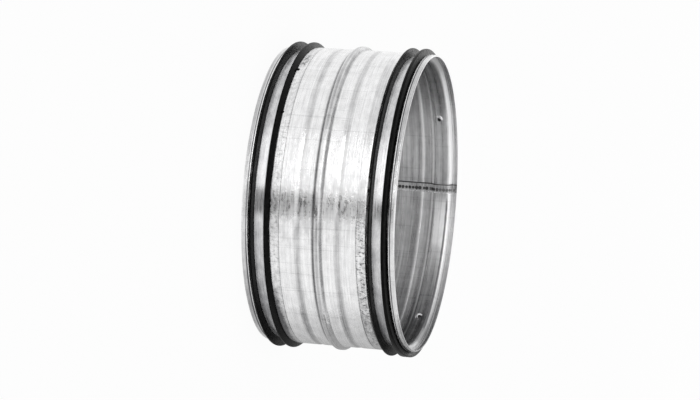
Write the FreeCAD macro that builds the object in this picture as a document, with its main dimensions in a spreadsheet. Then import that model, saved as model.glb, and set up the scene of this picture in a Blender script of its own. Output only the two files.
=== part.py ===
import FreeCAD, Part
import math
import os
import Sketcher

# Push-in connector for round ventilation duct. It stands on one end, with its axis on Z and its
# lowest point at the origin's height. A roll-formed sheet-steel sleeve has a stop bead round its
# middle. Near each end a rubber gasket with two lips lies in a recessed seat, and a steel band
# between the lips holds it down. Lengths are in millimetres and angles in degrees.

SIZES = {
    # Sleeve: overall sizes
    "length": 80.0,
    "body_diameter": 159.0,
    "wall": 0.5,
    # Sleeve: stop bead round the middle
    "bead_width": 4.8,
    "bead_crest": 2.0,
    "bead_height": 1.9,
    # Sleeve: recessed gasket seat and end collar, from the end inwards
    "collar_length": 3.1,
    "collar_drop": 0.3,
    "outer_slope_run": 1.9,
    "seat_width": 6.9,
    "seat_depth": 3.3,
    "inner_slope_run": 3.3,
    # Sleeve: welded lap seam along the inside
    "lap_width": 5.4,
    "lap_height": 0.2,
    # Gaskets
    "seat_gap": 0.05,
    "slope_gap": 0.15,
    "web_thickness": 0.75,
    "web_inset": 0.8,
    "lip_overhang": 2.7,
    "lip_tip_width": 0.8,
    "lip_root_width": 2.0,
    "lip_lean": 0.2,
    "inner_lip_offset": 4.25,
    "outer_lip_offset": 3.35,
    "inner_foot_height": 1.9,
    "outer_foot_height": 2.3,
    # Bands
    "band_thickness": 0.6,
    "band_side_gap": 0.1,
}


class Size:
    """A length, with the expression that ties it to the sheet of sizes."""

    def __init__(self, number, text):
        self.number = number
        self.text = text

    def __add__(self, other):
        return Size(self.number + other.number, f"({self.text} + {other.text})")

    def __sub__(self, other):
        return Size(self.number - other.number, f"({self.text} - {other.text})")

    def __mul__(self, other):
        return Size(self.number * other.number, f"({self.text} * {other.text})")

    def __truediv__(self, other):
        return Size(self.number / other.number, f"({self.text} / {other.text})")


def size(name):
    return Size(SIZES[name], f"sizes.{name}")


def root(value):
    return Size(math.sqrt(value.number), f"sqrt({value.text})")


TWO = Size(2.0, "2")
NOTHING = Size(0.0, "0")
FULL_TURN = Size(360.0, "360")
PI = Size(math.pi, "pi")


def half(value):
    return value / TWO


def fill_sheet(doc):
    """Put every driving dimension in a cell of its own, with its name as alias."""
    sheet = doc.addObject("Spreadsheet::Sheet", "sizes")
    for row, (name, number) in enumerate(SIZES.items(), start=1):
        sheet.set(f"A{row}", name)
        sheet.set(f"B{row}", str(number))
        sheet.setAlias(f"B{row}", name)
    doc.recompute()


# Every piece is a section turned round the axis. A section is a list of corners (radius, height).

def tie_corner(sketch, line, radius, height):
    """Tie the start of a line to its distance from the axis and its height over the lower end."""
    across = sketch.addConstraint(Sketcher.Constraint("DistanceX", -1, 1, line, 1, radius.number))
    sketch.setExpression(f"Constraints[{across}]", radius.text)
    if height is NOTHING:
        sketch.addConstraint(Sketcher.Constraint("PointOnObject", line, 1, -1))
        return
    up = sketch.addConstraint(Sketcher.Constraint("DistanceY", -1, 1, line, 1, height.number))
    sketch.setExpression(f"Constraints[{up}]", height.text)


def section_sketch(body, name, corners):
    """A closed outline in a plane through the axis, with radius to the right and height upwards."""
    sketch = body.newObject("Sketcher::SketchObject", name)
    sketch.AttachmentSupport = [(origin_feature(body, "XZ_Plane"), "")]
    sketch.MapMode = "FlatFace"
    count = len(corners)
    points = [FreeCAD.Vector(radius.number, height.number, 0) for radius, height in corners]
    for index in range(count):
        sketch.addGeometry(Part.LineSegment(points[index], points[(index + 1) % count]), False)
    for index, (radius, height) in enumerate(corners):
        sketch.addConstraint(Sketcher.Constraint("Coincident", index, 2, (index + 1) % count, 1))
        tie_corner(sketch, index, radius, height)
    return sketch


def origin_feature(body, role):
    for feature in body.Origin.OriginFeatures:
        if feature.Role == role:
            return feature


def new_body(doc, label):
    body = doc.addObject("PartDesign::Body", label)
    body.Label = label
    return body


def revolve(body, name, corners):
    sketch = section_sketch(body, f"{name}_section", corners)
    turned = body.newObject("PartDesign::Revolution", name)
    turned.Profile = sketch
    turned.ReferenceAxis = (sketch, ["V_Axis"])
    turned.Angle = 360.0
    sketch.Visibility = False
    return turned


# Places that several pieces share. Heights are counted from the middle of the sleeve to either
# side: level() turns one into a height over the lower end.

HALF_LENGTH = half(size("length"))
BODY_RADIUS = half(size("body_diameter"))
SEAT_RADIUS = BODY_RADIUS - size("seat_depth")
COLLAR_RADIUS = BODY_RADIUS - size("collar_drop")
COLLAR_START = HALF_LENGTH - size("collar_length")
SEAT_OUTER = COLLAR_START - size("outer_slope_run")
SEAT_INNER = SEAT_OUTER - size("seat_width")
SLOPE_START = SEAT_INNER - size("inner_slope_run")
SEAT_MIDDLE = half(SEAT_OUTER + SEAT_INNER)
OUTER_SLOPE_RISE = COLLAR_RADIUS - SEAT_RADIUS
UPPER = 1
LOWER = -1


def level(end, offset):
    if end == UPPER:
        return HALF_LENGTH + offset
    if offset is HALF_LENGTH:
        return NOTHING
    return HALF_LENGTH - offset


def corner_shift(run, rise, depth):
    """How far a slope's corners move along the axis on a surface lying depth below it."""
    slope_length = root(run * run + rise * rise)
    return depth * (slope_length - run) / rise


def sleeve_half(depth):
    """Corners from the bead to one end, at a depth below the outside, as radius and offset."""
    body = BODY_RADIUS - depth
    seat = SEAT_RADIUS - depth
    collar = COLLAR_RADIUS - depth
    crest = body + size("bead_height")
    bead_run = half(size("bead_width") - size("bead_crest"))
    bead_shift = corner_shift(bead_run, size("bead_height"), depth)
    inner_shift = corner_shift(size("inner_slope_run"), size("seat_depth"), depth)
    outer_shift = corner_shift(size("outer_slope_run"), OUTER_SLOPE_RISE, depth)
    return [
        (crest, half(size("bead_crest")) - bead_shift),
        (body, half(size("bead_width")) - bead_shift),
        (body, SLOPE_START - inner_shift),
        (seat, SEAT_INNER - inner_shift),
        (seat, SEAT_OUTER + outer_shift),
        (collar, COLLAR_START + outer_shift),
        (collar, HALF_LENGTH),
    ]


def sleeve_line(depth):
    """One face of the sheet from the lower end to the upper end."""
    corners = sleeve_half(depth)
    lower = [(radius, level(LOWER, offset)) for radius, offset in reversed(corners)]
    upper = [(radius, level(UPPER, offset)) for radius, offset in corners]
    return lower + upper


def sheet_section(outside, inside):
    """A strip of the sheet between two depths, at full length."""
    return sleeve_line(outside) + sleeve_line(inside)[::-1]


def make_sleeve(doc):
    wall = size("wall")
    body = new_body(doc, "sleeve")
    revolve(body, "rolled_sheet", sheet_section(NOTHING, wall))
    lap = revolve(body, "lap_seam", sheet_section(half(wall), wall + size("lap_height")))
    lap_angle = FULL_TURN * size("lap_width") / (PI * size("body_diameter"))
    lap.Midplane = True
    lap.setExpression("Angle", lap_angle.text)
    return body


# The gasket's section: a thin web on the seat's floor, with a foot on each slope and a lip at
# each side of the band.

WEB_BOTTOM = SEAT_RADIUS + size("seat_gap")
WEB_TOP = WEB_BOTTOM + size("web_thickness")
LIP_RADIUS = BODY_RADIUS + size("lip_overhang")
INNER_LIP = SEAT_MIDDLE - size("inner_lip_offset")
OUTER_LIP = SEAT_MIDDLE + size("outer_lip_offset")
INNER_ROOT = INNER_LIP + half(size("lip_root_width"))
OUTER_ROOT = OUTER_LIP - half(size("lip_root_width"))


def make_gasket(doc, label, end):
    tip_half = half(size("lip_tip_width"))
    inner_tip = INNER_LIP - size("lip_lean")
    outer_tip = OUTER_LIP - size("lip_lean")
    inner_foot_run = size("inner_foot_height") * size("inner_slope_run") / size("seat_depth")
    outer_foot_run = size("outer_foot_height") * size("outer_slope_run") / OUTER_SLOPE_RISE
    corners = [
        (WEB_BOTTOM, SEAT_INNER + size("web_inset")),
        (WEB_BOTTOM, SEAT_OUTER - size("web_inset")),
        (SEAT_RADIUS + size("outer_foot_height"), SEAT_OUTER + outer_foot_run - size("slope_gap")),
        (LIP_RADIUS, outer_tip + tip_half),
        (LIP_RADIUS, outer_tip - tip_half),
        (WEB_TOP, OUTER_ROOT),
        (WEB_TOP, INNER_ROOT),
        (LIP_RADIUS, inner_tip + tip_half),
        (LIP_RADIUS, inner_tip - tip_half),
        (SEAT_RADIUS + size("inner_foot_height"), SEAT_INNER - inner_foot_run + size("slope_gap")),
    ]
    body = new_body(doc, label)
    revolve(body, f"{label}_ring", [(radius, level(end, offset)) for radius, offset in corners])
    return body


def make_band(doc, label, end):
    """A thin strip bent to a ring, lying on the gasket's web between the lips."""
    bottom = WEB_TOP + size("seat_gap")
    top = bottom + size("band_thickness")
    low = INNER_ROOT + size("band_side_gap")
    high = OUTER_ROOT - size("band_side_gap")
    corners = [(bottom, low), (bottom, high), (top, high), (top, low)]
    body = new_body(doc, label)
    revolve(body, f"{label}_ring", [(radius, level(end, offset)) for radius, offset in corners])
    return body


def check(doc, bodies):
    """Stop if a feature failed or a piece isn't one valid solid."""
    for item in doc.Objects:
        if "Invalid" in item.State or "Error" in item.State:
            raise RuntimeError(f"{item.Name} failed: {item.State}")
    for body in bodies:
        shape = body.Shape
        if shape.isNull() or not shape.isValid() or len(shape.Solids) != 1:
            raise RuntimeError(f"{body.Label} isn't one valid solid")


def main():
    doc = FreeCAD.newDocument("duct_connector")
    fill_sheet(doc)
    bodies = [
        make_sleeve(doc),
        make_gasket(doc, "lower_gasket", LOWER),
        make_gasket(doc, "upper_gasket", UPPER),
        make_band(doc, "lower_band", LOWER),
        make_band(doc, "upper_band", UPPER),
    ]
    doc.recompute()
    check(doc, bodies)
    os.makedirs("parts", exist_ok=True)
    for body in bodies:
        body.Shape.exportStep(f"parts/{body.Label}.step")
        box = body.Shape.BoundBox
        print(body.Label, "volume", round(body.Shape.Volume, 1), "height", round(box.ZMin, 3), round(box.ZMax, 3))


main()
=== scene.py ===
import math
import random
import bpy
from mathutils import Matrix, Vector


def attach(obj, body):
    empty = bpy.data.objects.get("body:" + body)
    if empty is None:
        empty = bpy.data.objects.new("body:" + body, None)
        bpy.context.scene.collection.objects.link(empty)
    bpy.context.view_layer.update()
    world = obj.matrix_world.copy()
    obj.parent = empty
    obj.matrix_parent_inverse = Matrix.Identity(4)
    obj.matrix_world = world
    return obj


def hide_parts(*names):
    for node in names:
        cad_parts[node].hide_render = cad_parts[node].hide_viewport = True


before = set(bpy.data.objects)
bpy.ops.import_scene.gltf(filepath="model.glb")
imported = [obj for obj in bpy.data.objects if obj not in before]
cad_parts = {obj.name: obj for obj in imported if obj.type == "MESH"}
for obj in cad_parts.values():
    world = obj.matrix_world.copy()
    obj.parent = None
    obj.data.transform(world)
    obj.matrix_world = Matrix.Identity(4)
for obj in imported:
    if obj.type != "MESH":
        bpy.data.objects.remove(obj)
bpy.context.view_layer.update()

# Round duct connector, standing on its lower end with its axis on Z. Lengths are in metres.
# The solids are dressed with finely rounded rings, and the marks of rolling and welding are added.

MM = 0.001
TURN = 2 * math.pi

# Ends of the sleeve, as the signs of offsets from its middle, and both of them
UPPER = 1
LOWER = -1
BOTH = 0

# Fineness of the meshes, the largest share of a side that a bend takes up, and the angle in degrees
# from which an edge is sharp
RING_SEGMENTS = 256
FEWEST_SEGMENTS = 4
BEND_STEPS = 5
DOME_SIDES = 14
BEND_SHARE = 0.45
SHARP_ANGLE = 40

# Sleeve, as offsets from its middle along the axis and drops below the body's outer radius
LENGTH = 80 * MM
HALF_LENGTH = LENGTH / 2
BODY_RADIUS = 79.5 * MM
WALL = 0.5 * MM
BEND = 0.9 * MM
BEAD_HALF_WIDTH = 2.4 * MM
BEAD_HALF_CREST = 1.0 * MM
BEAD_HEIGHT = 1.9 * MM
GROOVE_OFFSET = 10.5 * MM
GROOVE_HALF_WIDTH = 1.9 * MM
GROOVE_DEPTH = 0.32 * MM
SCORE_OFFSET = 20.3 * MM
SCORE_HALF_WIDTH = 0.35 * MM
SCORE_DEPTH = 0.12 * MM
SCORE_BEND = 0.1 * MM
SLOPE_START = 24.8 * MM
SEAT_INNER = 28.1 * MM
SEAT_OUTER = 35.0 * MM
SEAT_DROP = 3.3 * MM
COLLAR_START = 36.9 * MM
COLLAR_DROP = 0.3 * MM
COLLAR_LINE = 37.6 * MM
COLLAR_LINE_HALF_WIDTH = 0.25 * MM
COLLAR_LINE_DEPTH = 0.12 * MM
COLLAR_LINE_BEND = 0.05 * MM

# The collars' ends are drawn in, over this length and by this much
LEAD_LENGTH = 0.7 * MM
LEAD_DROP = {LOWER: 0.1 * MM, UPPER: 0.45 * MM}

# Lap seam along the inside, at the +X side
LAP_WIDTH = 5.4 * MM
LAP_HEIGHT = 0.2 * MM
LAP_EDGE = 0.7 * MM
LAP_FOOT = 0.6 * MM
WELD_PITCH = 1.95 * MM
WELD_RADIUS = 0.95 * MM
WELD_LIFT = 0.1 * MM
WELD_LINE = 0.35 * MM
WELD_LINE_LIFT = 0.02 * MM
WELD_SHIFT = 0.6 * MM

# Range of the weld marks' sizes, and a mark's section as shares of its radius and of its lift
WELD_SIZES = (0.85, 1.1)
WELD_PROFILE = ((1.0, 0.0), (0.95, 1.0), (0.4, 1.5))

# Points pierced through the seats: their turns in degrees and the sides in radians that their burrs lean to
POINT_TURNS = (31.9, 122, 211, 298.1)
POINT_LEANS = (0.6, 2.7, 4.4, 5.5)
POINT_SHIFT = 0.7 * MM
POINT_RADIUS = 1.0 * MM
POINT_LIFT = 0.1 * MM
BURR_RADIUS = 2.2 * MM
BURR_STRETCH = 1.3
BURR_HEIGHT = 0.6 * MM
BURR_SUNK = 0.1 * MM

# A leaning burr's height, as a mean share and how far that swings round the point
LEAN_MEAN = 0.4
LEAN_SWING = 1.3

# Gaskets and bands, as offsets from the middle of the seat and as radii
SEAT_MIDDLE = (SEAT_INNER + SEAT_OUTER) / 2
SEAT_RADIUS = BODY_RADIUS - SEAT_DROP
SEAT_GAP = 0.05 * MM
SLOPE_GAP = 0.15 * MM
WEB_BOTTOM = SEAT_RADIUS + SEAT_GAP
WEB_THICKNESS = 0.75 * MM
WEB_TOP = WEB_BOTTOM + WEB_THICKNESS
WEB_INSET = 0.8 * MM
WEB_BEND = 0.2 * MM
FOOT_BEND = 0.4 * MM
ROOT_BEND = 0.15 * MM
LIP_RADIUS = 82.17 * MM
LIP_TIP_HALF = 0.4 * MM
LIP_ROOT_HALF = 1.0 * MM
LIP_LEAN = 0.2 * MM
INNER_LIP = -4.25 * MM
INNER_TIP_BEND = 0.35 * MM
OUTER_LIP = 3.35 * MM
OUTER_TIP_BEND = 0.6 * MM
OUTER_BACK_BEND = 0.5 * MM
OUTER_FOOT_HEIGHT = 2.1 * MM
BAND_BOTTOM = WEB_TOP + SEAT_GAP
BAND_THICKNESS = 0.3 * MM
BAND_BEND = 0.4 * MM
BAND_EDGE_RISE = 0.16 * MM
BAND_LOW_RISE = 0.04 * MM
BAND_EDGE_WIDTH = 0.75 * MM
BAND_EDGE_BEND = 0.08 * MM
BAND_BRIGHT_FROM = 0.05 * MM
BAND_SIDE_GAP = 0.1 * MM

# The two gaskets lie in their seats a little differently. The upper one's outer lip is folded out at a
# turn from the camera's side, and a higher power makes the fold fade faster to either side.
INNER_FOOT_HEIGHT = {LOWER: 3.15 * MM, UPPER: 2.5 * MM}
INNER_ROOT_HALF = {LOWER: 1.0 * MM, UPPER: 0.45 * MM}
OUTER_TIP_SPREAD = {LOWER: 0.0, UPPER: 0.8 * MM}
FOLDED_OUT = {LOWER: 0.0, UPPER: 2.9 * MM}
FOLD_TURN = -102
FOLD_POWER = 4

# Small lumps of rubber beside the lower gasket: turn from the camera's side, offset and radius
NIBS = ((54.5, 24.5 * MM, 1.2 * MM), (31.5, 25.0 * MM, 0.8 * MM), (-5, 25.3 * MM, 1.0 * MM))

# Section of a lump, as shares of its radius and heights over the sleeve
NIB_PROFILE = ((1.0, -0.2 * MM), (0.9, 0.1 * MM), (0.6, 0.32 * MM), (0.25, 0.4 * MM))

# Rings with marks on the outside: offset from the sleeve's middle, half width and softness of the edges
STRIP_MIDDLE = (SCORE_OFFSET + SLOPE_START) / 2
CREST = (0.0, 0.9 * MM, 0.5 * MM)
UPPER_FLANK = (2.0 * MM, 0.65 * MM, 0.4 * MM)
LOWER_FLANK = (2.2 * MM, 0.85 * MM, 0.4 * MM)
GROOVE = (GROOVE_OFFSET, 1.5 * MM, 0.8 * MM)
SCORE = (SCORE_OFFSET, 0.2 * MM, 0.15 * MM)
STRIP = (STRIP_MIDDLE, 2.4 * MM, 0.6 * MM)
WORN_AND_SHADED_STRIP = (STRIP_MIDDLE, 2.5 * MM, 0.5 * MM)
STAIN_STRIP = (22.8 * MM, 1.2 * MM, 0.7 * MM)
# Painted shadow beside the lower gasket's inner lip
LIP_SHADOW_STRIP = (25.15 * MM, 2.85 * MM, 2.2 * MM)
COLLAR_SCORE = (COLLAR_LINE, 0.3 * MM, 0.15 * MM)
LOWER_COLLAR = (38.6 * MM, 1.6 * MM, 0.2 * MM)
LOWER_RIM = (39.2 * MM, 0.9 * MM, 0.3 * MM)
UPPER_COLLAR = (38.8 * MM, 1.2 * MM, 0.2 * MM)

# Rings with marks on the inside, in the same form
SCORE_RIDGE = (SCORE_OFFSET, 0.8 * MM, 0.5 * MM)
BODY_END = (22.6 * MM, 1.6 * MM, 0.6 * MM)
SHADED_END = (26 * MM, 14 * MM, 4 * MM)
SLOPE_RIDGE = (26.4 * MM, 0.7 * MM, 0.4 * MM)
SLOPE_FOOT = (27.6 * MM, 0.35 * MM, 0.2 * MM)
SEAT_FLOOR = (SEAT_MIDDLE, 3.0 * MM, 0.3 * MM)
WELD_LIGHTER = (34.5 * MM, 5.0 * MM, 1.5 * MM)
SEAT_EDGE = (35.3 * MM, 0.5 * MM, 0.2 * MM)
COLLAR_SLOPE = (36.3 * MM, 0.7 * MM, 0.3 * MM)
INNER_COLLAR = (38.6 * MM, 1.6 * MM, 0.2 * MM)

# Stretches with marks on the outside: start and stop, as distances round the axis from the lap, and softness
STAINED = (148 * MM, 160 * MM, 3 * MM)
FAR_STRIP = (152 * MM, 210 * MM, 10 * MM)
FAR_COLLAR = (152 * MM, 228 * MM, 10 * MM)
# Painted highlight: on this stretch the marks are mostly lifted and the bands are painted lighter
HIGHLIGHTED = (210 * MM, 252 * MM, 6 * MM)
HIGHLIGHTED_BAND = (210 * MM, 252 * MM, 8 * MM)
HAZY = (226 * MM, 266 * MM, 4 * MM)
# Wear, and painted shade on the upper strip towards the picture's lower side
WORN_AND_SHADED = (245 * MM, 470 * MM, 12 * MM)
SCUFFED = (250 * MM, 318 * MM, 12 * MM)
# Painted shade on the picture's lower side
SHADE_SIDE = (285 * MM, 375 * MM, 14 * MM)
SHADE_SIDE_COLLAR = (275 * MM, 375 * MM, 20 * MM)
LIP_SHADOWED = (300 * MM, 372 * MM, 20 * MM)
# Painted shade on the bead's upper flank along this stretch
SHADED_FLANK = (0.0, 312 * MM, 14 * MM)

# Stretches with marks on the inside, in the same form
GLEAM = (12 * MM, 50 * MM, 10 * MM)
SHADED = (355 * MM, 425 * MM, 20 * MM)
EDGE_LINE = (405 * MM, 493 * MM, 3 * MM)
# Painted highlight on the upper seat's floor
SEAT_HIGHLIGHT = (466 * MM, 493 * MM, 2 * MM)
SEAT_HIGHLIGHT_FADE = (454 * MM, 493 * MM, 10 * MM)

# Shares of a mark that are left on the stretch of painted highlight, and where the inside is painted darker
# as shade
HIGHLIGHT_LEFT = 0.15
SHADED_LEFT = 0.4

# The upper strip's wear and painted shade beside the lower one's wear
UPPER_WEAR_AND_SHADE = 1.5

# Camera, with the part's middle right of and above the picture's middle by a few pixels
CAMERA_AZIMUTH = math.radians(173.2)
CAMERA_ELEVATION = math.radians(13.4)
CAMERA_ROLL = math.radians(4.2)
CAMERA_DISTANCE = 1.3
CAMERA_REACH = 100
SENSOR_WIDTH = 36.0
PIXELS_PER_METRE = 1865.0
IMAGE_WIDTH = 700
OBJECT_RIGHT = 4.9
OBJECT_UP = 1.6

# Stage: the floor's half width and its share of plain white, and the room's brightness as a light
FLOOR_REACH = 6.0
FLOOR_WHITENED = 0.95
ROOM_LIGHT = 0.6

# Grey cards that show only in reflections; those at the picture's lower side, at the part's foot and inside
# the part are painted shade on the floor. Turns and slants are in degrees.
CARD_REACH = 0.9
CARD_LIFT = 1 * MM
CARD_STEP = 0.3 * MM
FRONT_GREYS = (0.75, 0.45, 0.2, 0.03)
FRONT_TURNS = (4.4, -10.4)
FRONT_SLANTS = (-9, 2)
FRONT_INSET = 0.9
LOWER_SHADE_GREYS = (0.78, 0.66, 0.56, 0.46, 0.38)
LOWER_TURN = -40
LOWER_STEP = 10
FOOT_SHADOW_GREY = 0.72
FOOT_WIDTH = 14 * MM
INSIDE_SHADE_GREY = 0.65
DISC_EDGE = 1 * MM
DISC_LIFT = 0.5 * MM


def level(end, offset):
    """The height of a place at an offset from the sleeve's middle towards an end."""
    return HALF_LENGTH + end * offset


def beside(turn, distance, height=0.0):
    """A place round the part, by its turn from the camera's side towards the picture's top."""
    angle = CAMERA_AZIMUTH - math.radians(turn)
    return Vector((distance * math.cos(angle), distance * math.sin(angle), height))


# Meshes

def add_object(name, data):
    item = bpy.data.objects.new(name, data)
    bpy.context.scene.collection.objects.link(item)
    return item


def new_mesh(name, vertices, faces, unrolled, materials):
    """A smooth mesh, with a place on the unrolled surface for each corner of its faces."""
    mesh = bpy.data.meshes.new(name)
    mesh.from_pydata(vertices, [], faces)
    surface = mesh.uv_layers.new(name="surface")
    for loop, spot in zip(surface.data, unrolled):
        loop.uv = spot
    for material in materials:
        mesh.materials.append(material)
    for polygon in mesh.polygons:
        polygon.use_smooth = True
    return mesh


def rounded(corners, closed=False):
    """Corners (radius, height, bend radius) as points, with each bend drawn as a smooth curve."""
    count = len(corners)
    points = []
    for index, (radius, height, bend) in enumerate(corners):
        here = Vector((radius, height))
        at_end = not closed and index in (0, count - 1)
        if at_end or bend == 0:
            points.append(here)
            continue
        before = Vector(corners[index - 1][:2]) - here
        after = Vector(corners[(index + 1) % count][:2]) - here
        opening = before.angle(after)
        longest = BEND_SHARE * min(before.length, after.length)
        cut = min(bend / math.tan(opening / 2), longest)
        start = here + before.normalized() * cut
        end = here + after.normalized() * cut
        for step in range(BEND_STEPS + 1):
            share = step / BEND_STEPS
            points.append(start * (1 - share) ** 2 + here * 2 * share * (1 - share) + end * share ** 2)
    return points


def shifted(points, distance):
    """The line moved outwards by a distance, at right angles to itself."""
    moved = []
    last = len(points) - 1
    for index, point in enumerate(points):
        along = (points[min(index + 1, last)] - points[max(index - 1, 0)]).normalized()
        moved.append(point + Vector((along.y, -along.x)) * distance)
    return moved


def turned(point, angle, push):
    """A point (radius, height) turned round the axis, and pushed along it where there is a push."""
    rise = push(point, angle) if push else 0.0
    return (point.x * math.cos(angle), point.x * math.sin(angle), point.y + rise)


def run_lengths(points, rows):
    """Distances along a section from its first point."""
    run = [0.0]
    for row in range(rows):
        run.append(run[-1] + (points[(row + 1) % len(points)] - points[row]).length)
    return run


def spin(name, points, start=0.0, sweep=TURN, closed=True, materials=(), pick=None, push=None):
    """A surface made by turning a line of points round the axis, with a material picked for each row."""
    whole = sweep == TURN
    segments = RING_SEGMENTS if whole else max(FEWEST_SEGMENTS, 2 * round(RING_SEGMENTS * sweep / TURN))
    columns = segments if whole else segments + 1
    count = len(points)
    rows = count if closed else count - 1
    angles = [start + sweep * column / segments for column in range(columns)]
    vertices = [turned(point, angle, push) for angle in angles for point in points]
    run = run_lengths(points, rows)
    faces, unrolled, picks = [], [], []
    for column in range(segments):
        here = column * count
        after = (column + 1) % columns * count
        left = sweep * column / segments * BODY_RADIUS
        right = sweep * (column + 1) / segments * BODY_RADIUS
        for row in range(rows):
            up = (row + 1) % count
            faces.append((here + row, after + row, after + up, here + up))
            unrolled += [(left, run[row]), (right, run[row]), (right, run[row + 1]), (left, run[row + 1])]
            picks.append(pick(row) if pick else 0)
    mesh = new_mesh(name, vertices, faces, unrolled, materials)
    for polygon, choice in zip(mesh.polygons, picks):
        polygon.material_index = choice
    mesh.set_sharp_from_angle(angle=math.radians(SHARP_ANGLE))
    return add_object(name, mesh)


def leaning(height, angle, lean):
    """The height of a burr that stands higher on the side it leans to."""
    return max(-BURR_SUNK, height * (LEAN_MEAN + LEAN_SWING * math.cos(angle - lean)))


def add_dome(vertices, faces, centre, across, up, normal, profile, lean=None):
    """A small turned form on a surface, by distances from its middle and heights. It may lean."""
    first = len(vertices)
    for distance, height in profile:
        for side in range(DOME_SIDES):
            angle = TURN * side / DOME_SIDES
            spot = across * math.cos(angle) + up * math.sin(angle)
            raised = height if lean is None else leaning(height, angle, lean)
            vertices.append(centre + spot * distance + normal * raised)
    for ring in range(len(profile) - 1):
        low = first + ring * DOME_SIDES
        high = low + DOME_SIDES
        for side in range(DOME_SIDES):
            after = (side + 1) % DOME_SIDES
            faces.append((low + side, low + after, high + after, high + side))
    last = first + (len(profile) - 1) * DOME_SIDES
    faces.append(tuple(last + side for side in range(DOME_SIDES)))


def domes_piece(name, vertices, faces, material):
    """Domes as one piece, with the sleeve's unrolled surface carried on over them."""
    corners = [vertices[index] for face in faces for index in face]
    unrolled = [(math.atan2(spot.y, spot.x) * BODY_RADIUS, spot.z) for spot in corners]
    mesh = new_mesh(name, [tuple(spot) for spot in vertices], faces, unrolled, (material,))
    return add_object(name, mesh)


def place(piece, slot, *nodes):
    """Fix a piece to the part, and hide the solids that it stands for. The finish it is given is not used."""
    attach(piece, "root")
    if nodes:
        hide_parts(*nodes)


# Material building blocks

def new_material(name):
    material = bpy.data.materials.new(name)
    material.use_nodes = True
    tree = material.node_tree
    return material, tree, tree.nodes["Principled BSDF"]


def link(tree, source, target):
    tree.links.new(source, target)


def dress(tree, shader, colour, roughness):
    link(tree, colour, shader.inputs["Base Color"])
    link(tree, roughness, shader.inputs["Roughness"])


def surface_place(tree):
    """Place on the unrolled surface, as lengths round the axis and along the section."""
    coordinates = tree.nodes.new("ShaderNodeUVMap")
    coordinates.uv_map = "surface"
    return coordinates.outputs["UV"]


def noise(tree, around, along, detail=3.0, roughness=0.6, slant=0.0):
    """Cloudy variation, by its spots to the metre round the axis and along the section."""
    mapping = tree.nodes.new("ShaderNodeMapping")
    mapping.inputs["Scale"].default_value = (around, along, 1)
    mapping.inputs["Rotation"].default_value = (0, 0, math.radians(slant))
    link(tree, surface_place(tree), mapping.inputs["Vector"])
    texture = tree.nodes.new("ShaderNodeTexNoise")
    texture.noise_dimensions = "2D"
    texture.inputs["Scale"].default_value = 1.0
    texture.inputs["Detail"].default_value = detail
    texture.inputs["Roughness"].default_value = roughness
    link(tree, mapping.outputs["Vector"], texture.inputs["Vector"])
    return texture.outputs["Fac"]


def scaled(tree, value, low, high, to_low=0.0, to_high=1.0):
    """A value between two limits, spread over another range and held there."""
    node = tree.nodes.new("ShaderNodeMapRange")
    node.clamp = True
    node.inputs["From Min"].default_value = low
    node.inputs["From Max"].default_value = high
    node.inputs["To Min"].default_value = to_low
    node.inputs["To Max"].default_value = to_high
    link(tree, value, node.inputs["Value"])
    return node.outputs["Result"]


def math_node(tree, operation, first, second=0.0):
    node = tree.nodes.new("ShaderNodeMath")
    node.operation = operation
    for socket, value in zip(node.inputs, (first, second)):
        if isinstance(value, (int, float)):
            socket.default_value = value
        else:
            link(tree, value, socket)
    return node.outputs["Value"]


def product(tree, *values):
    total = 1.0
    for value in values:
        total = math_node(tree, "MULTIPLY", total, value)
    return total


def weighted(tree, *terms):
    """The sum of several values, each times its weight."""
    total = 0.0
    for value, weight in terms:
        total = math_node(tree, "ADD", total, math_node(tree, "MULTIPLY", value, weight))
    return total


def shade(tree, value, dark, light):
    """A colour between two greys, chosen by a value from 0 to 1."""
    ramp = tree.nodes.new("ShaderNodeValToRGB")
    ramp.color_ramp.elements[0].color = (*dark, 1)
    ramp.color_ramp.elements[1].color = (*light, 1)
    link(tree, value, ramp.inputs["Fac"])
    return ramp.outputs["Color"]


def bump(tree, shader, relief, depth):
    """Relief of a real depth in metres on a shader."""
    node = tree.nodes.new("ShaderNodeBump")
    node.inputs["Strength"].default_value = 1.0
    node.inputs["Distance"].default_value = depth
    link(tree, relief, node.inputs["Height"])
    link(tree, node.outputs["Normal"], shader.inputs["Normal"])


def roll_marks(tree, shader):
    """Fine marks of rolling run round the axis, so reflections spread along it."""
    tangent = tree.nodes.new("ShaderNodeTangent")
    tangent.direction_type = "UV_MAP"
    tangent.uv_map = "surface"
    link(tree, tangent.outputs["Tangent"], shader.inputs["Tangent"])
    shader.inputs["Anisotropic"].default_value = 0.8
    shader.inputs["Anisotropic Rotation"].default_value = 0.25


# Places of marks

def window(tree, value, low, high, soft):
    """1 where a value lies between two limits, 0 elsewhere, with soft edges."""
    rise = scaled(tree, value, low - soft, low + soft)
    fall = scaled(tree, value, high - soft, high + soft, 1.0, 0.0)
    return math_node(tree, "MULTIPLY", rise, fall)


def over_end(tree):
    """Height over the lower end."""
    coordinates = tree.nodes.new("ShaderNodeTexCoord")
    parts = tree.nodes.new("ShaderNodeSeparateXYZ")
    link(tree, coordinates.outputs["Object"], parts.inputs["Vector"])
    return parts.outputs["Z"]


def ring_mark(tree, end, ring):
    """1 on a ring towards one end, or on its like towards both ends, 0 elsewhere."""
    offset, half_width, soft = ring
    middle = level(end, offset)
    along = over_end(tree)
    if end == BOTH:
        middle = offset
        along = math_node(tree, "ABSOLUTE", math_node(tree, "SUBTRACT", along, HALF_LENGTH))
    return window(tree, along, middle - half_width, middle + half_width, soft)


def stretch_mark(tree, stretch):
    """1 on a stretch round the axis, 0 elsewhere."""
    start, stop, soft = stretch
    parts = tree.nodes.new("ShaderNodeSeparateXYZ")
    link(tree, surface_place(tree), parts.inputs["Vector"])
    return window(tree, parts.outputs["X"], start, stop, soft)


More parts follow.
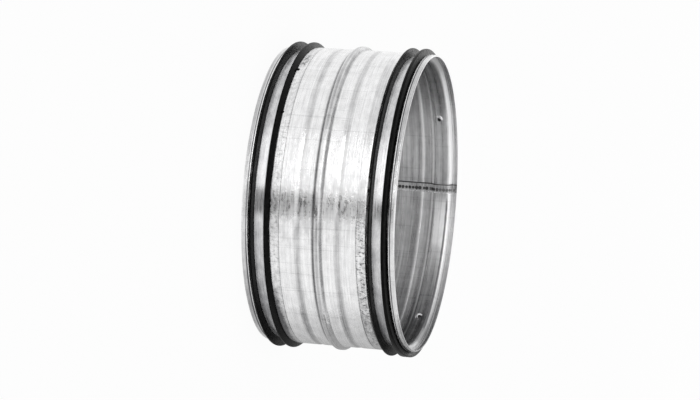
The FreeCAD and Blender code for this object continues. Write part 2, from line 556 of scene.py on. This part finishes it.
def on_stretch(tree, end, ring, stretch):
    """1 on one stretch of a ring, 0 elsewhere."""
    return product(tree, ring_mark(tree, end, ring), stretch_mark(tree, stretch))


def off_stretch(tree, end, ring, stretch, left):
    """1 on a ring, with only a share left on one stretch of it, 0 elsewhere."""
    kept = scaled(tree, stretch_mark(tree, stretch), 0.0, 1.0, 1.0, left)
    return product(tree, ring_mark(tree, end, ring), kept)


# Marks on the sleeve

def wear_and_shade_area(tree):
    """The strips between the score lines and the gaskets, the lower one all round for wear, the upper one
    towards the picture's lower side for wear and painted shade.
    """
    lower = ring_mark(tree, LOWER, WORN_AND_SHADED_STRIP)
    upper = on_stretch(tree, UPPER, WORN_AND_SHADED_STRIP, WORN_AND_SHADED)
    return math_node(tree, "MAXIMUM", lower, math_node(tree, "MULTIPLY", upper, UPPER_WEAR_AND_SHADE))


def wear_and_shade_strips(tree):
    """Mottled wear on the strips beside the gaskets, with painted shade on the upper one."""
    patches = scaled(tree, noise(tree, 320, 560, 4.0, 0.65), 0.4, 0.65)
    return product(tree, patches, wear_and_shade_area(tree))


def scuffs(tree):
    """Slanting tool marks on the strips beside the gaskets, most of them beside the upper one."""
    dashes = scaled(tree, noise(tree, 950, 480, 2.0, slant=35), 0.55, 0.64)
    patches = scaled(tree, noise(tree, 28, 60, 2.0, 0.5), 0.42, 0.60, 0.15, 0.45)
    worst = on_stretch(tree, UPPER, STRIP, SCUFFED)
    amount = math_node(tree, "MAXIMUM", product(tree, patches, wear_and_shade_area(tree)), worst)
    return product(tree, dashes, amount)


def lip_shadow(tree):
    """A painted shadow, dark and soft, on the sleeve beside the lower gasket."""
    patches = scaled(tree, noise(tree, 160, 400), 0.35, 0.6, 0.6, 1.0)
    return product(tree, on_stretch(tree, LOWER, LIP_SHADOW_STRIP, LIP_SHADOWED), patches)


def stain(tree):
    """A small dark stain beside the lower gasket."""
    patches = scaled(tree, noise(tree, 350, 500), 0.4, 0.6, 0.2, 1.0)
    return product(tree, on_stretch(tree, LOWER, STAIN_STRIP, STAINED), patches)


def outside_marks(tree):
    """Marks and weights outside: scuffs, a stain, wear, a painted shadow by the lower gasket, painted shade
    on the bead, in the grooves and lines and on the picture's lower side, lifted where the highlight is
    painted, and darker collars and stretches.
    """
    return [
        (scuffs(tree), -0.45),
        (wear_and_shade_strips(tree), -0.14),
        # Painted shadow beside the lower gasket
        (lip_shadow(tree), -1.2),
        (stain(tree), -0.6),
        # Painted shade on the bead's crest, lifted on the stretch of painted highlight, and on its flanks
        (off_stretch(tree, LOWER, CREST, HIGHLIGHTED, HIGHLIGHT_LEFT), -0.3),
        (ring_mark(tree, LOWER, LOWER_FLANK), -0.5),
        (on_stretch(tree, UPPER, UPPER_FLANK, SHADED_FLANK), -0.42),
        # Painted shade in the grooves, lifted on the stretch of painted highlight, and in the score lines,
        # more towards the picture's lower side
        (off_stretch(tree, BOTH, GROOVE, HIGHLIGHTED, HIGHLIGHT_LEFT), -0.22),
        (on_stretch(tree, BOTH, GROOVE, SHADE_SIDE), -0.14),
        (ring_mark(tree, LOWER, SCORE), -0.28),
        (on_stretch(tree, UPPER, SCORE, WORN_AND_SHADED), -0.32),
        # The upper strip darker on one stretch, with painted shade on it towards the picture's lower side
        (on_stretch(tree, UPPER, STRIP, FAR_STRIP), -0.16),
        (on_stretch(tree, UPPER, STRIP, SHADE_SIDE), -0.14),
        # Painted shade in the collars' lines and on the lower collar towards the picture's lower side, then
        # the collars darker on some stretches
        (ring_mark(tree, BOTH, COLLAR_SCORE), -0.55),
        (on_stretch(tree, LOWER, LOWER_COLLAR, SHADE_SIDE_COLLAR), -0.35),
        (on_stretch(tree, LOWER, LOWER_RIM, FAR_COLLAR), -0.24),
        (ring_mark(tree, UPPER, UPPER_COLLAR), -0.10),
        (on_stretch(tree, UPPER, UPPER_COLLAR, FAR_COLLAR), -0.20),
    ]


def rolling_bands(tree):
    """Broad bands left by rolling."""
    return noise(tree, 9, 330)


def inside_marks(tree):
    """Marks and weights inside: rolling bands, a painted gleam, painted shade at the upper end, painted
    highlights on ridges, slopes, collars and the upper seat, and painted shade at the slopes' feet and by the
    seat's edge.
    """
    return [
        (rolling_bands(tree), 0.5),
        (stretch_mark(tree, GLEAM), 0.16),
        (on_stretch(tree, UPPER, SHADED_END, SHADED), -0.3),
        # Painted highlights on the score ridges, the body's ends and the slopes' ridges
        (ring_mark(tree, BOTH, SCORE_RIDGE), 0.38),
        (ring_mark(tree, BOTH, BODY_END), 0.08),
        (ring_mark(tree, BOTH, SLOPE_RIDGE), 0.35),
        # Painted shade at the slopes' feet
        (ring_mark(tree, BOTH, SLOPE_FOOT), -0.2),
        # Painted highlight on the upper seat's floor
        (on_stretch(tree, UPPER, SEAT_FLOOR, SEAT_HIGHLIGHT), 0.25),
        (on_stretch(tree, UPPER, SEAT_FLOOR, SEAT_HIGHLIGHT_FADE), 0.25),
        # Painted shade along the upper seat's edge
        (on_stretch(tree, UPPER, SEAT_EDGE, EDGE_LINE), -0.5),
        # Painted highlight on the collars' slopes, less on the shaded stretch, and painted light on the inner
        # collars
        (off_stretch(tree, BOTH, COLLAR_SLOPE, SHADED, SHADED_LEFT), 0.55),
        (ring_mark(tree, BOTH, INNER_COLLAR), 0.18),
    ]


def lap_marks(tree):
    """Marks and weights on the lap: rolling bands."""
    return [(rolling_bands(tree), 0.5)]


def outside_roughness(tree):
    """Satin, with mottled dull zinc on one stretch."""
    haze = scaled(tree, noise(tree, 130, 480, 4.0, 0.7), 0.40, 0.60)
    dull = product(tree, haze, stretch_mark(tree, HAZY))
    satin = scaled(tree, noise(tree, 25, 900), 0.35, 0.65, 0.16, 0.27)
    return weighted(tree, (dull, 0.24), (haze, 0.04), (satin, 1.0))


def inside_roughness(tree):
    """Satin, with long streaks from rolling."""
    return scaled(tree, noise(tree, 14, 500), 0.35, 0.65, 0.26, 0.40)


# Materials

def zinc(name, dark, light, lowest, highest, grain, marks, roughness):
    """Galvanised sheet, dark at its lowest tone and light at its highest, with marks and a roughness."""
    material, tree, shader = new_material(name)
    clouds = noise(tree, 150, 260, 4.0)
    streaks = noise(tree, 30, 1600)
    mottle = noise(tree, 420, 700)
    hairlines = scaled(tree, noise(tree, 800, 14, 1.0, 0.4), 0.68, 0.74)
    pits = scaled(tree, noise(tree, 420, 420, 1.0, 0.5), 0.86, 0.90)
    tone = weighted(tree, (clouds, 0.30), (streaks, 0.40), (hairlines, -0.07), (pits, -0.3), *marks(tree))
    dress(tree, shader, shade(tree, scaled(tree, tone, lowest, highest), dark, light), roughness(tree))
    bump(tree, shader, weighted(tree, (mottle, 1.0), (clouds, 0.5)), grain)
    shader.inputs["Metallic"].default_value = 1.0
    roll_marks(tree, shader)
    return material


def outside_zinc():
    return zinc(
        "zinc_outside", dark=(0.12, 0.12, 0.125), light=(0.96, 0.96, 0.965), lowest=-0.3, highest=0.45,
        grain=0.10 * MM, marks=outside_marks, roughness=outside_roughness)


# A darker copy of the outside's zinc: painted shade inside the bore, also on the lap
def inside_zinc(name, marks):
    return zinc(
        name, dark=(0.14, 0.14, 0.145), light=(0.90, 0.90, 0.905), lowest=0.25, highest=1.1,
        grain=0.04 * MM, marks=marks, roughness=inside_roughness)


def cut_edge():
    """The bare cut edge of the sheet, bright with fine nicks."""
    material, tree, shader = new_material("cut_edge")
    nicks = noise(tree, 1200, 4000)
    colour = shade(tree, nicks, (0.60, 0.60, 0.61), (0.86, 0.86, 0.86))
    dress(tree, shader, colour, scaled(tree, nicks, 0.3, 0.7, 0.28, 0.45))
    bump(tree, shader, nicks, 0.02 * MM)
    shader.inputs["Metallic"].default_value = 1.0
    return material


def strip_steel():
    """The plain strip of the bands, drawn lengthwise, so its marks run round the axis."""
    material, tree, shader = new_material("strip_steel")
    drawn = noise(tree, 30, 3500)
    clouds = noise(tree, 120, 250, roughness=0.55)
    # Painted highlight on one stretch, and painted shade on the picture's lower side
    lightened = stretch_mark(tree, HIGHLIGHTED_BAND)
    shaded_side = stretch_mark(tree, SHADE_SIDE)
    tone = weighted(tree, (drawn, 0.6), (clouds, 0.4), (lightened, 0.14), (shaded_side, -0.16))
    colour = shade(tree, scaled(tree, tone, 0.30, 0.66), (0.34, 0.34, 0.35), (0.93, 0.93, 0.94))
    dress(tree, shader, colour, scaled(tree, drawn, 0.35, 0.65, 0.16, 0.36))
    bump(tree, shader, tone, 0.03 * MM)
    shader.inputs["Metallic"].default_value = 1.0
    roll_marks(tree, shader)
    return material


def seal_rubber():
    """Moulded black rubber with fine rings from the mould and a little dust."""
    material, tree, shader = new_material("seal_rubber")
    rings = noise(tree, 8, 3000, 2.0, 0.5)
    dust = noise(tree, 300, 500, 4.0, 0.65)
    tone = product(tree, scaled(tree, dust, 0.45, 0.8), scaled(tree, rings, 0.3, 0.7, 0.4, 1.0))
    colour = shade(tree, tone, (0.002, 0.002, 0.002), (0.014, 0.014, 0.014))
    dress(tree, shader, colour, scaled(tree, dust, 0.3, 0.7, 0.20, 0.36))
    bump(tree, shader, weighted(tree, (rings, 1.0), (dust, 0.4)), 0.06 * MM)
    shader.inputs["Specular IOR Level"].default_value = 0.045
    return material


def dark_oxide_and_shade(name, lightest, lightened):
    """Dark oxide where the sheet was welded, and painted shade in the holes of the pierced points, lighter
    near the ends by an amount.
    """
    material, tree, shader = new_material(name)
    patches = noise(tree, 900, 900)
    tone = weighted(tree, (patches, 0.5), (ring_mark(tree, BOTH, WELD_LIGHTER), lightened))
    colour = shade(tree, tone, (0.01, 0.01, 0.01), (lightest, lightest, lightest))
    dress(tree, shader, colour, scaled(tree, patches, 0.3, 0.7, 0.45, 0.70))
    bump(tree, shader, patches, 0.03 * MM)
    shader.inputs["Specular IOR Level"].default_value = 0.2
    return material


# Sleeve

def sleeve_half(end):
    """Corners from the bead to one end, as drop below the body, offset and bend radius."""
    return [
        (-BEAD_HEIGHT, BEAD_HALF_CREST, BEND),
        (0.0, BEAD_HALF_WIDTH, BEND),
        (0.0, GROOVE_OFFSET - GROOVE_HALF_WIDTH, BEND),
        (GROOVE_DEPTH, GROOVE_OFFSET, 2 * BEND),
        (0.0, GROOVE_OFFSET + GROOVE_HALF_WIDTH, BEND),
        (0.0, SCORE_OFFSET - SCORE_HALF_WIDTH, SCORE_BEND),
        (SCORE_DEPTH, SCORE_OFFSET, SCORE_BEND),
        (0.0, SCORE_OFFSET + SCORE_HALF_WIDTH, SCORE_BEND),
        (0.0, SLOPE_START, BEND),
        (SEAT_DROP, SEAT_INNER, BEND),
        (SEAT_DROP, SEAT_OUTER, BEND),
        (COLLAR_DROP, COLLAR_START, 0.5 * BEND),
        (COLLAR_DROP, COLLAR_LINE - COLLAR_LINE_HALF_WIDTH, COLLAR_LINE_BEND),
        (COLLAR_DROP + COLLAR_LINE_DEPTH, COLLAR_LINE, COLLAR_LINE_BEND),
        (COLLAR_DROP, COLLAR_LINE + COLLAR_LINE_HALF_WIDTH, COLLAR_LINE_BEND),
        (COLLAR_DROP, HALF_LENGTH - LEAD_LENGTH, BEND),
        (COLLAR_DROP + LEAD_DROP[end], HALF_LENGTH, 0.0),
    ]


def sheet_line():
    """The middle of the sheet's thickness from the lower end to the upper end."""
    middle = BODY_RADIUS - WALL / 2
    lower = [(middle - drop, level(LOWER, offset), bend) for drop, offset, bend in sleeve_half(LOWER)]
    upper = [(middle - drop, level(UPPER, offset), bend) for drop, offset, bend in sleeve_half(UPPER)]
    return rounded(lower[::-1] + upper)


def flat_ended(points):
    """The line with its ends on the planes of the part's two ends."""
    points[0].y = 0.0
    points[-1].y = LENGTH
    return points


def make_sleeve(outside, inside, edge):
    """The roll-formed sheet. Returns the line of its inner face."""
    line = sheet_line()
    outer = flat_ended(shifted(line, WALL / 2))
    inner = flat_ended(shifted(line, -WALL / 2))
    count = len(line)

    def pick(row):
        if row in (count - 1, 2 * count - 1):
            return 2
        return 0 if row < count else 1

    sleeve = spin("sleeve_sheet", outer + inner[::-1], materials=(outside, inside, edge), pick=pick)
    place(sleeve, "zinc_sheet", "sleeve")
    return inner


def lap_strip(name, inner, lift, low, high, material):
    """A strip along the lap, between two distances round the axis from its middle."""
    line = flat_ended(shifted(inner, -lift))
    sweep = (high - low) / BODY_RADIUS
    strip = spin(name, line, low / BODY_RADIUS, sweep, closed=False, materials=(material,))
    place(strip, "zinc_sheet")


def make_lap(inner, face, dark, steel):
    """The overlap of the sheet's edges, with a dark edge, a bright foot and the line of the weld.

    Returns the line of its top.
    """
    half = LAP_WIDTH / 2
    line_low = -WELD_SHIFT - WELD_LINE / 2
    line_high = -WELD_SHIFT + WELD_LINE / 2
    lap_strip("lap_face", inner, LAP_HEIGHT, LAP_FOOT - half, half - LAP_EDGE, face)
    lap_strip("lap_edge", inner, LAP_HEIGHT / 2, half - LAP_EDGE, half, dark)
    lap_strip("lap_foot", inner, LAP_HEIGHT / 2, -half, LAP_FOOT - half, steel)
    lap_strip("weld_line", inner, LAP_HEIGHT + WELD_LINE_LIFT, line_low, line_high, steel)
    return flat_ended(shifted(inner, -LAP_HEIGHT))


def along_line(points, pitch):
    """Evenly spaced places on a line."""
    spots = []
    left = pitch / 2
    for start, end in zip(points, points[1:]):
        step = end - start
        while left <= step.length:
            spots.append(start + step.normalized() * left)
            left += pitch
        left -= step.length
    return spots


def make_welds(top, material):
    """A row of small weld marks along the lap."""
    chance = random.Random(4)
    vertices, faces = [], []
    spots = along_line(top, WELD_PITCH)
    for before, spot, after in zip(spots, spots[1:], spots[2:]):
        along = (after - before).normalized()
        size = WELD_RADIUS * chance.uniform(*WELD_SIZES)
        centre = Vector((spot.x, -WELD_SHIFT, spot.y))
        normal = Vector((-along.y, 0.0, along.x))
        up = Vector((along.x, 0.0, along.y))
        profile = [(size * share, WELD_LIFT * rise) for share, rise in WELD_PROFILE]
        add_dome(vertices, faces, centre, Vector((0, 1, 0)), up, normal, profile)
    place(domes_piece("weld_marks", vertices, faces, material), "zinc_sheet")


def make_points(burr, dark):
    """Burred points pierced through both seats, seen on the inside."""
    wall = SEAT_RADIUS - WALL
    up = Vector((0, 0, 1))
    burr_profile = [
        (BURR_RADIUS, 0.0),
        (BURR_RADIUS * 0.8, BURR_HEIGHT * 0.35),
        (BURR_RADIUS * 0.6, BURR_HEIGHT),
        (POINT_RADIUS, BURR_HEIGHT * 0.8),
        (POINT_RADIUS * 0.85, POINT_LIFT * 0.2),
    ]
    hole_profile = [
        (POINT_RADIUS, BURR_HEIGHT * 0.3),
        (POINT_RADIUS * 0.9, POINT_LIFT),
        (POINT_RADIUS * 0.5, POINT_LIFT * 0.3),
    ]
    burrs, burr_faces, holes, hole_faces = [], [], [], []
    for end in (UPPER, LOWER):
        for turn, lean in zip(POINT_TURNS, POINT_LEANS):
            angle = math.radians(turn)
            outward = Vector((math.cos(angle), math.sin(angle), 0))
            across = Vector((-math.sin(angle), math.cos(angle), 0)) * BURR_STRETCH
            centre = outward * wall + up * level(end, SEAT_MIDDLE - POINT_SHIFT)
            add_dome(burrs, burr_faces, centre, across, up, -outward, burr_profile, lean)
            add_dome(holes, hole_faces, centre, across, up, -outward, hole_profile)
    place(domes_piece("point_burrs", burrs, burr_faces, burr), "zinc_sheet")
    # The holes are dark: painted shade inside them
    place(domes_piece("point_holes", holes, hole_faces, dark), "zinc_sheet")


# Gaskets and bands

def seat_section(end, corners):
    """Corners given by their offset from a seat's middle, as a closed section with its bends."""
    steps = [(radius, level(end, SEAT_MIDDLE + offset), bend) for radius, offset, bend in corners]
    if end == LOWER:
        steps.reverse()
    return rounded(steps, closed=True)


def make_nibs(rubber):
    """Small lumps of rubber squeezed out beside the lower gasket."""
    vertices, faces = [], []
    up = Vector((0, 0, 1))
    for turn, offset, size in NIBS:
        outward = beside(turn, 1.0)
        centre = outward * BODY_RADIUS + up * level(LOWER, offset)
        profile = [(size * share, rise) for share, rise in NIB_PROFILE]
        add_dome(vertices, faces, centre, up.cross(outward), up, outward, profile)
    place(domes_piece("rubber_nibs", vertices, faces, rubber), "seal_rubber")


def make_gasket(name, end, node, rubber):
    """A web on the seat's floor, with a foot on each slope and a lip at each side of the band."""
    inner_slope = (SEAT_INNER - SLOPE_START) / SEAT_DROP
    outer_slope = (COLLAR_START - SEAT_OUTER) / (SEAT_DROP - COLLAR_DROP)
    half_seat = (SEAT_OUTER - SEAT_INNER) / 2
    inner_tip = INNER_LIP - LIP_LEAN
    outer_tip = OUTER_LIP - LIP_LEAN
    inner_foot = INNER_FOOT_HEIGHT[end]
    outer_foot_radius = SEAT_RADIUS + OUTER_FOOT_HEIGHT
    corners = [
        (WEB_BOTTOM, -half_seat + WEB_INSET, WEB_BEND),
        (WEB_BOTTOM, half_seat - WEB_INSET, WEB_BEND),
        (outer_foot_radius, half_seat + OUTER_FOOT_HEIGHT * outer_slope - SLOPE_GAP, FOOT_BEND),
        (LIP_RADIUS, outer_tip + LIP_TIP_HALF, OUTER_TIP_BEND),
        (LIP_RADIUS, outer_tip - LIP_TIP_HALF - OUTER_TIP_SPREAD[end], OUTER_BACK_BEND),
        (WEB_TOP, OUTER_LIP - LIP_ROOT_HALF, ROOT_BEND),
        (WEB_TOP, INNER_LIP + INNER_ROOT_HALF[end], ROOT_BEND),
        (LIP_RADIUS, inner_tip + LIP_TIP_HALF, INNER_TIP_BEND),
        (LIP_RADIUS, inner_tip - LIP_TIP_HALF, INNER_TIP_BEND),
        (SEAT_RADIUS + inner_foot, -half_seat - inner_foot * inner_slope + SLOPE_GAP, FOOT_BEND),
    ]

    def push(point, angle):
        """The outer lip is folded out towards the end at the picture's lower side."""
        if point.x < outer_foot_radius or point.y < level(end, SEAT_MIDDLE + outer_tip):
            return 0.0
        low_side = max(0.0, math.cos(CAMERA_AZIMUTH - math.radians(FOLD_TURN) - angle))
        share = (point.x - outer_foot_radius) / (LIP_RADIUS - outer_foot_radius)
        return FOLDED_OUT[end] * low_side ** FOLD_POWER * share

    ring = spin(name, seat_section(end, corners), materials=(rubber,), push=push)
    place(ring, "seal_rubber", node)


def make_band(name, end, node, steel, bright):
    """A strip with its edges turned up a little against the lips, the upper one more."""
    low_rise, high_rise = BAND_LOW_RISE, BAND_EDGE_RISE
    if end == LOWER:
        low_rise, high_rise = high_rise, low_rise
    low = INNER_LIP + INNER_ROOT_HALF[end] + BAND_SIDE_GAP
    high = OUTER_LIP - LIP_ROOT_HALF - BAND_SIDE_GAP
    top = BAND_BOTTOM + BAND_THICKNESS
    points = seat_section(end, [
        (BAND_BOTTOM, low + BAND_EDGE_WIDTH, BAND_BEND),
        (BAND_BOTTOM, high - BAND_EDGE_WIDTH, BAND_BEND),
        (BAND_BOTTOM + high_rise, high, BAND_EDGE_BEND),
        (top + high_rise, high, BAND_EDGE_BEND),
        (top, high - BAND_EDGE_WIDTH, BAND_BEND),
        (top, low + BAND_EDGE_WIDTH, BAND_BEND),
        (top + low_rise, low, BAND_EDGE_BEND),
        (BAND_BOTTOM + low_rise, low, BAND_EDGE_BEND),
    ])

    def pick(row):
        middle = (points[row] + points[(row + 1) % len(points)]) / 2
        return 1 if middle.x > top + BAND_BRIGHT_FROM else 0

    place(spin(name, points, materials=(steel, bright), pick=pick), "band_steel", node)


# Stage

def make_camera():
    """The photograph's view, with the part's axis running to the right."""
    data = bpy.data.cameras.new("camera")
    camera = add_object("camera", data)
    middle = Vector((0, 0, HALF_LENGTH))
    back = Vector((
        math.cos(CAMERA_ELEVATION) * math.cos(CAMERA_AZIMUTH),
        math.cos(CAMERA_ELEVATION) * math.sin(CAMERA_AZIMUTH),
        math.sin(CAMERA_ELEVATION),
    ))
    axis = Vector((0, 0, 1))
    level_right = (axis - back * axis.dot(back)).normalized()
    level_up = back.cross(level_right)
    right = level_right * math.cos(CAMERA_ROLL) + level_up * math.sin(CAMERA_ROLL)
    up = back.cross(right)
    spot = middle + back * CAMERA_DISTANCE
    rows = [[right[i], up[i], back[i], spot[i]] for i in range(3)]
    camera.matrix_world = Matrix([*rows, [0, 0, 0, 1]])
    data.sensor_width = SENSOR_WIDTH
    data.lens = SENSOR_WIDTH * PIXELS_PER_METRE * CAMERA_DISTANCE / IMAGE_WIDTH
    data.shift_x = -OBJECT_RIGHT / IMAGE_WIDTH
    data.shift_y = -OBJECT_UP / IMAGE_WIDTH
    data.clip_end = CAMERA_REACH
    bpy.context.scene.camera = camera


def background_rays(tree):
    """1 for the rays that show the background: from the camera, through clear pieces and off glossy ones."""
    path = tree.nodes.new("ShaderNodeLightPath")
    seen = math_node(tree, "MAXIMUM", path.outputs["Is Camera Ray"], path.outputs["Is Transmission Ray"])
    return math_node(tree, "MAXIMUM", seen, path.outputs["Is Glossy Ray"])


def flat_sheet(name, corners, material):
    mesh = bpy.data.meshes.new(name)
    mesh.from_pydata([tuple(corner) for corner in corners], [], [(0, 1, 2, 3)])
    mesh.materials.append(material)
    return add_object(name, mesh)


def floor_white():
    """Nearly white to the camera and in reflections, with a trace of the part's shadow."""
    material, tree, shader = new_material("floor_white")
    shader.inputs["Base Color"].default_value = (0.93, 0.93, 0.93, 1)
    shader.inputs["Roughness"].default_value = 0.9
    shader.inputs["Specular IOR Level"].default_value = 0.0
    glow = tree.nodes.new("ShaderNodeEmission")
    glow.inputs["Strength"].default_value = 1.0
    mix = tree.nodes.new("ShaderNodeMixShader")
    link(tree, math_node(tree, "MULTIPLY", background_rays(tree), FLOOR_WHITENED), mix.inputs["Fac"])
    link(tree, shader.outputs["BSDF"], mix.inputs[1])
    link(tree, glow.outputs["Emission"], mix.inputs[2])
    link(tree, mix.outputs["Shader"], tree.nodes["Material Output"].inputs["Surface"])
    return material


def make_floor():
    """A plain white floor under the part."""
    sides = ((-1, -1), (1, -1), (1, 1), (-1, 1))
    corners = [(FLOOR_REACH * across, FLOOR_REACH * along, 0) for across, along in sides]
    floor = flat_sheet("floor", corners, floor_white())


def card_grey(name, grey):
    """A grey that is the same in any light."""
    material, _, shader = new_material(name)
    shader.inputs["Base Color"].default_value = (0, 0, 0, 1)
    shader.inputs["Emission Color"].default_value = (grey, grey, grey, 1)
    shader.inputs["Emission Strength"].default_value = 1.0
    return material


def hide_card(card):
    """Leave a card to reflections only."""
    card.visible_camera = False
    card.visible_diffuse = False
    card.visible_shadow = False


def add_card(name, turns, grey, lift=CARD_LIFT, slants=(0.0, 0.0)):
    """A grey card on the floor that the sleeve mirrors between two turns, with its far corners slanted."""
    rise = Vector((0, 0, lift))
    near = [beside(turn, LIP_RADIUS) + rise for turn in turns]
    spread = [2 * turn + slant for turn, slant in zip(turns, slants)]
    far = [spot + beside(turn, CARD_REACH) for spot, turn in zip(near, spread)]
    hide_card(flat_sheet(name, (near[0], near[1], far[1], far[0]), card_grey(name, grey)))


def add_disc(name, inner, outer, grey):
    """A flat grey ring on the floor."""
    line = [Vector((inner, DISC_LIFT)), Vector((outer, DISC_LIFT))]
    hide_card(spin(name, line, closed=False, materials=(card_grey(name, grey),)))


def add_flag(name, turns, distance, tall, grey):
    """A standing grey card between two turns."""
    left, right = (beside(turn, distance) for turn in turns)
    lift = Vector((0, 0, tall))
    hide_card(flat_sheet(name, (left, right, right + lift, left + lift), card_grey(name, grey)))


def make_cards():
    """Grey cards to mirror: in front, and as painted shade on the floor at the picture's lower side, at the
    part's foot and inside the part, and a standing flag.
    """
    first, last = FRONT_TURNS
    for index, grey in enumerate(FRONT_GREYS):
        inset = FRONT_INSET * index
        lift = CARD_LIFT + CARD_STEP * index
        add_card(f"front_card_{index + 1}", (first - inset, last + inset), grey, lift, FRONT_SLANTS)
    for index, grey in enumerate(LOWER_SHADE_GREYS):
        turn = LOWER_TURN - LOWER_STEP * index
        add_card(f"lower_shade_card_{index + 1}", (turn, turn - LOWER_STEP), grey)
    add_disc("foot_shadow_card", SEAT_RADIUS, LIP_RADIUS + FOOT_WIDTH, FOOT_SHADOW_GREY)
    add_disc("inside_shade_card", DISC_EDGE, SEAT_RADIUS - DISC_EDGE, INSIDE_SHADE_GREY)
    add_flag("lower_flag", turns=(-95, -178), distance=0.9, tall=0.5, grey=0.30)


def make_room():
    """A pale room, white as a background."""
    world = bpy.data.worlds.new("studio")
    world.use_nodes = True
    tree = world.node_tree
    room = tree.nodes["Background"]
    room.inputs["Color"].default_value = (1, 1, 1, 1)
    link(tree, scaled(tree, background_rays(tree), 0.0, 1.0, ROOM_LIGHT, 1.0), room.inputs["Strength"])
    bpy.context.scene.world = world


def add_panel(name, turn, elevation, distance, width, height, watts):
    """A soft panel lamp aimed at the part."""
    data = bpy.data.lights.new(name, "AREA")
    data.shape = "RECTANGLE"
    data.size = width
    data.size_y = height
    data.energy = watts
    lamp = add_object(name, data)
    lamp.visible_camera = False
    rise = math.radians(elevation)
    middle = Vector((0, 0, HALF_LENGTH))
    lamp.location = middle + beside(turn, distance * math.cos(rise), distance * math.sin(rise))
    lamp.rotation_euler = (middle - lamp.location).to_track_quat("-Z", "Y").to_euler()


def make_lights():
    """Soft studio light: a key panel beside the camera, one behind the part and one over it."""
    add_panel("key_panel", turn=25, elevation=5.5, distance=1.5, width=1.1, height=0.2, watts=2.2)
    add_panel("back_panel", turn=180, elevation=15, distance=2.6, width=2.6, height=0.9, watts=4)
    add_panel("over_panel", turn=0, elevation=88, distance=1.5, width=1.4, height=1.4, watts=2)


def make_part():
    edge = cut_edge()
    steel = strip_steel()
    rubber = seal_rubber()
    scale = dark_oxide_and_shade("weld_scale", lightest=0.25, lightened=0.6)
    pierced = dark_oxide_and_shade("pierced_hole_shade", lightest=0.12, lightened=0.0)
    inner = make_sleeve(outside_zinc(), inside_zinc("zinc_inside", inside_marks), edge)
    top = make_lap(inner, inside_zinc("zinc_lap", lap_marks), scale, steel)
    make_welds(top, scale)
    make_points(steel, pierced)
    make_gasket("lower_lips", LOWER, "lower_gasket", rubber)
    make_gasket("upper_lips", UPPER, "upper_gasket", rubber)
    make_nibs(rubber)
    make_band("lower_strip", LOWER, "lower_band", steel, edge)
    make_band("upper_strip", UPPER, "upper_band", steel, edge)


def main():
    make_part()
    make_camera()
    make_floor()
    make_cards()
    make_room()
    make_lights()
    bpy.context.scene.view_settings.view_transform = "Standard"


main()
